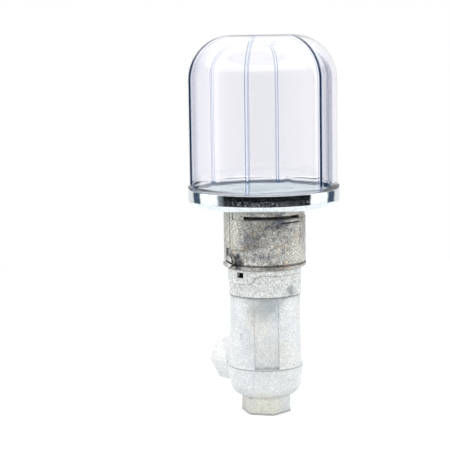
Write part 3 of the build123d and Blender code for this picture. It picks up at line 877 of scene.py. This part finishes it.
class OILER_OT_stage(bpy.types.Operator):
    """Stage: floor, soft lamps, studio surroundings and the camera"""

    bl_idname = "oiler.stage"
    bl_label = "Stage"

    def execute(self, context):
        sizes = context.scene.oiler_stage
        self.floor(sizes)
        self.surroundings(context.scene)
        self.lamp("key", (-0.6, -0.1, 0.6), 0.5, 1.5)
        self.lamp("fill", (0.6, -0.1, 0.5), 0.5, 1.1)
        self.lamp("top", (0.0, 0.1, 0.9), 0.5, 5.5)
        self.lamp("front", (0.1, -0.75, 0.12), 0.4, 0.72)
        self.camera(context.scene, sizes)
        context.scene.view_settings.view_transform = "Standard"
        return {"FINISHED"}

    def floor(self, sizes):
        """A round floor of pale paper, lifted towards white where it is seen, with the object's shadow."""
        deselect()
        bpy.ops.mesh.primitive_circle_add(
            vertices=96, radius=sizes.floor_radius, fill_type="NGON"
        )
        floor = bpy.context.object
        floor.name = "floor"
        material, tree, where = new_material("white paper floor")
        tooth = add(
            tree, "ShaderNodeTexNoise", {"Vector": where, "Scale": per_mm(2.0), "Detail": 2.0}
        )
        whites = [(0.3, linear("#e5e5e5")), (0.7, linear("#e7e7e7"))]
        paper = add(tree, "ShaderNodeValToRGB", [tooth], whites)
        diffuse = add(tree, "ShaderNodeBsdfDiffuse", {"Color": paper})
        glow = add(tree, "ShaderNodeEmission", {"Color": grey(1.0), "Strength": 0.35})
        both = add(tree, "ShaderNodeAddShader", [diffuse, glow])
        rays = add(tree, "ShaderNodeLightPath").outputs
        direct = [rays["Is Camera Ray"], rays["Is Transmission Ray"]]
        seen = add(tree, "ShaderNodeMath", direct, operation="MAXIMUM")
        mixed = add(tree, "ShaderNodeMixShader", [seen, diffuse, both])
        add(tree, "ShaderNodeOutputMaterial", [mixed])
        floor.data.materials.append(material)

    def surroundings(self, scene):
        """White to the camera, soft grey as light, and a studio with dark gaps to gloss and clear plastic."""
        world = bpy.data.worlds.new("studio")
        scene.world = world
        world.use_nodes = True
        tree = world.node_tree
        tree.nodes.clear()
        way = add(tree, "ShaderNodeTexCoord").outputs["Generated"]
        split = add(tree, "ShaderNodeSeparateXYZ", [way])

        # From 0 at the back of the studio round to 1 at the front, the same on both sides
        flat = add(tree, "ShaderNodeVectorMath", [way, (1.0, 1.0, 0.0)], operation="MULTIPLY")
        level = add(tree, "ShaderNodeVectorMath", [flat], operation="NORMALIZE")
        to_front = [level, (0.0, -0.5, 0.0)]
        facing = add(tree, "ShaderNodeVectorMath", to_front, operation="DOT_PRODUCT")
        round_about = add(tree, "ShaderNodeMath", [facing, 0.5], operation="ADD")

        navy = linear("#1c3656")
        dark = linear("#0b0e12")
        blob = linear("#3c4c5c")
        through = [
            (0.0, grey(1.0)),
            (0.012, linear("#fafaff")),
            (0.085, linear("#eceffa")),
            (0.11, navy),
            (0.30, navy),
            (0.33, grey(1.0)),
            (0.6, grey(1.0)),
            (1.0, linear("#8f97a1")),
        ]
        cards = [
            (0.0, grey(0.6)),
            (0.13, grey(0.66)),
            (0.17, blob),
            (0.29, blob),
            (0.33, grey(1.0)),
            (0.62, grey(1.0)),
        ]
        left_front = [(0.65, linear("#84898a")), (0.71, linear("#5b6063")), (0.74, dark)]
        right_front = [(0.64, dark), (1.0, dark)]
        on_right = [split.outputs["X"], 0.0]
        mirrored = {
            "Factor": add(tree, "ShaderNodeMath", on_right, operation="GREATER_THAN"),
            "A": add(tree, "ShaderNodeValToRGB", [round_about], cards + left_front),
            "B": add(tree, "ShaderNodeValToRGB", [round_about], cards + right_front),
        }
        walls = [
            add(tree, "ShaderNodeMix", mirrored, data_type="RGBA"),
            add(tree, "ShaderNodeValToRGB", [round_about], through),
        ]

        # White overhead, for gloss and for clear plastic alike
        span = [split.outputs["Z"], 0.15, 0.75]
        overhead = add(tree, "ShaderNodeMapRange", span, interpolation_type="SMOOTHSTEP")
        glossy, clear = (
            add(
                tree,
                "ShaderNodeMix",
                {"Factor": overhead, "A": wall, "B": grey(1.0)},
                data_type="RGBA",
            )
            for wall in walls
        )

        halves = [split.outputs["Z"], 0.5, 0.5]
        rise = add(tree, "ShaderNodeMath", halves, operation="MULTIPLY_ADD")
        greys = [(0.0, grey(0.68)), (0.5, grey(0.66)), (0.75, grey(0.72)), (1.0, grey(1.0))]
        sky = add(tree, "ShaderNodeValToRGB", [rise], greys)

        # Light that reaches matt pieces through the bottle is soft and not striped
        rays = add(tree, "ShaderNodeLightPath").outputs
        bounced = add(tree, "ShaderNodeMath", [rays["Diffuse Depth"], 0.5], operation="GREATER_THAN")
        through_bottle = [rays["Is Transmission Ray"], bounced]
        softened_rays = add(tree, "ShaderNodeMath", through_bottle, operation="MULTIPLY")

        # What each kind of ray meets, a later kind before an earlier one
        layers = (
            (rays["Is Glossy Ray"], glossy, 1.6),
            (rays["Is Transmission Ray"], clear, 1.03),
            (softened_rays, sky, 2.6),
            (rays["Is Camera Ray"], grey(1.0), 1.0),
        )
        met = add(tree, "ShaderNodeBackground", [sky, 1.15])
        for ray, colour, strength in layers:
            seen = add(tree, "ShaderNodeBackground", [colour, strength])
            met = add(tree, "ShaderNodeMixShader", [ray, met, seen])
        add(tree, "ShaderNodeOutputWorld", [met])

    def lamp(self, name, place, size, power):
        """A square soft lamp that looks at the middle of the object."""
        light = bpy.data.lights.new(name, "AREA")
        light.size = size
        light.energy = power
        lamp = bpy.data.objects.new(name, light)
        lamp.location = place
        aim = Vector((0.0, 0.0, 0.08)) - lamp.location
        lamp.rotation_euler = aim.to_track_quat("-Z", "Y").to_euler()
        lamp.visible_glossy = False
        lamp.visible_transmission = False
        bpy.context.scene.collection.objects.link(lamp)

    def camera(self, scene, sizes):
        """The photograph's view: a long lens, a little above the object."""
        data = bpy.data.cameras.new("camera")
        data.sensor_width = 36.0
        data.lens = sizes.focal * data.sensor_width
        camera = bpy.data.objects.new("camera", data)
        turn = (
            Matrix.Rotation(sizes.yaw, 4, "Z")
            @ Matrix.Rotation(pi / 2 - sizes.pitch, 4, "X")
            @ Matrix.Rotation(sizes.roll, 4, "Z")
        )
        camera.matrix_world = Matrix.Translation((0.0, -sizes.distance, sizes.height)) @ turn
        scene.collection.objects.link(camera)
        scene.camera = camera


class OILER_PT_panel(bpy.types.Panel):
    """Lists the pieces of the oiler and their sizes"""

    bl_idname = "OILER_PT_panel"
    bl_label = "Oiler"
    bl_space_type = "VIEW_3D"
    bl_region_type = "UI"
    bl_category = "Oiler"

    def draw(self, context):
        for group_name in GROUPS:
            group = getattr(context.scene, group_name)
            box = self.layout.box()
            for name in group.bl_rna.properties.keys():
                if name not in ("rna_type", "name"):
                    box.prop(group, name)
        for operator in OPERATORS:
            self.layout.operator(operator.bl_idname)


GROUPS = {
    "oiler_bottle": BottleSizes,
    "oiler_ring": RingSizes,
    "oiler_casting": CastingSizes,
    "oiler_stage": StageSizes,
}
OPERATORS = (
    OILER_OT_bottle,
    OILER_OT_ring,
    OILER_OT_castings,
    OILER_OT_inner_pieces,
    OILER_OT_stage,
)


def register():
    for name, group in GROUPS.items():
        bpy.utils.register_class(group)
        setattr(bpy.types.Scene, name, bpy.props.PointerProperty(type=group))
    for operator in OPERATORS:
        bpy.utils.register_class(operator)
    bpy.utils.register_class(OILER_PT_panel)


def unregister():
    bpy.utils.unregister_class(OILER_PT_panel)
    for operator in reversed(OPERATORS):
        bpy.utils.unregister_class(operator)
    for name, group in GROUPS.items():
        delattr(bpy.types.Scene, name)
        bpy.utils.unregister_class(group)


def main():
    register()
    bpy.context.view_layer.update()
    bpy.ops.oiler.bottle()
    bpy.ops.oiler.ring()
    bpy.ops.oiler.castings()
    bpy.ops.oiler.inner_pieces()
    bpy.ops.oiler.stage()


if __name__ == "__main__":
    main()
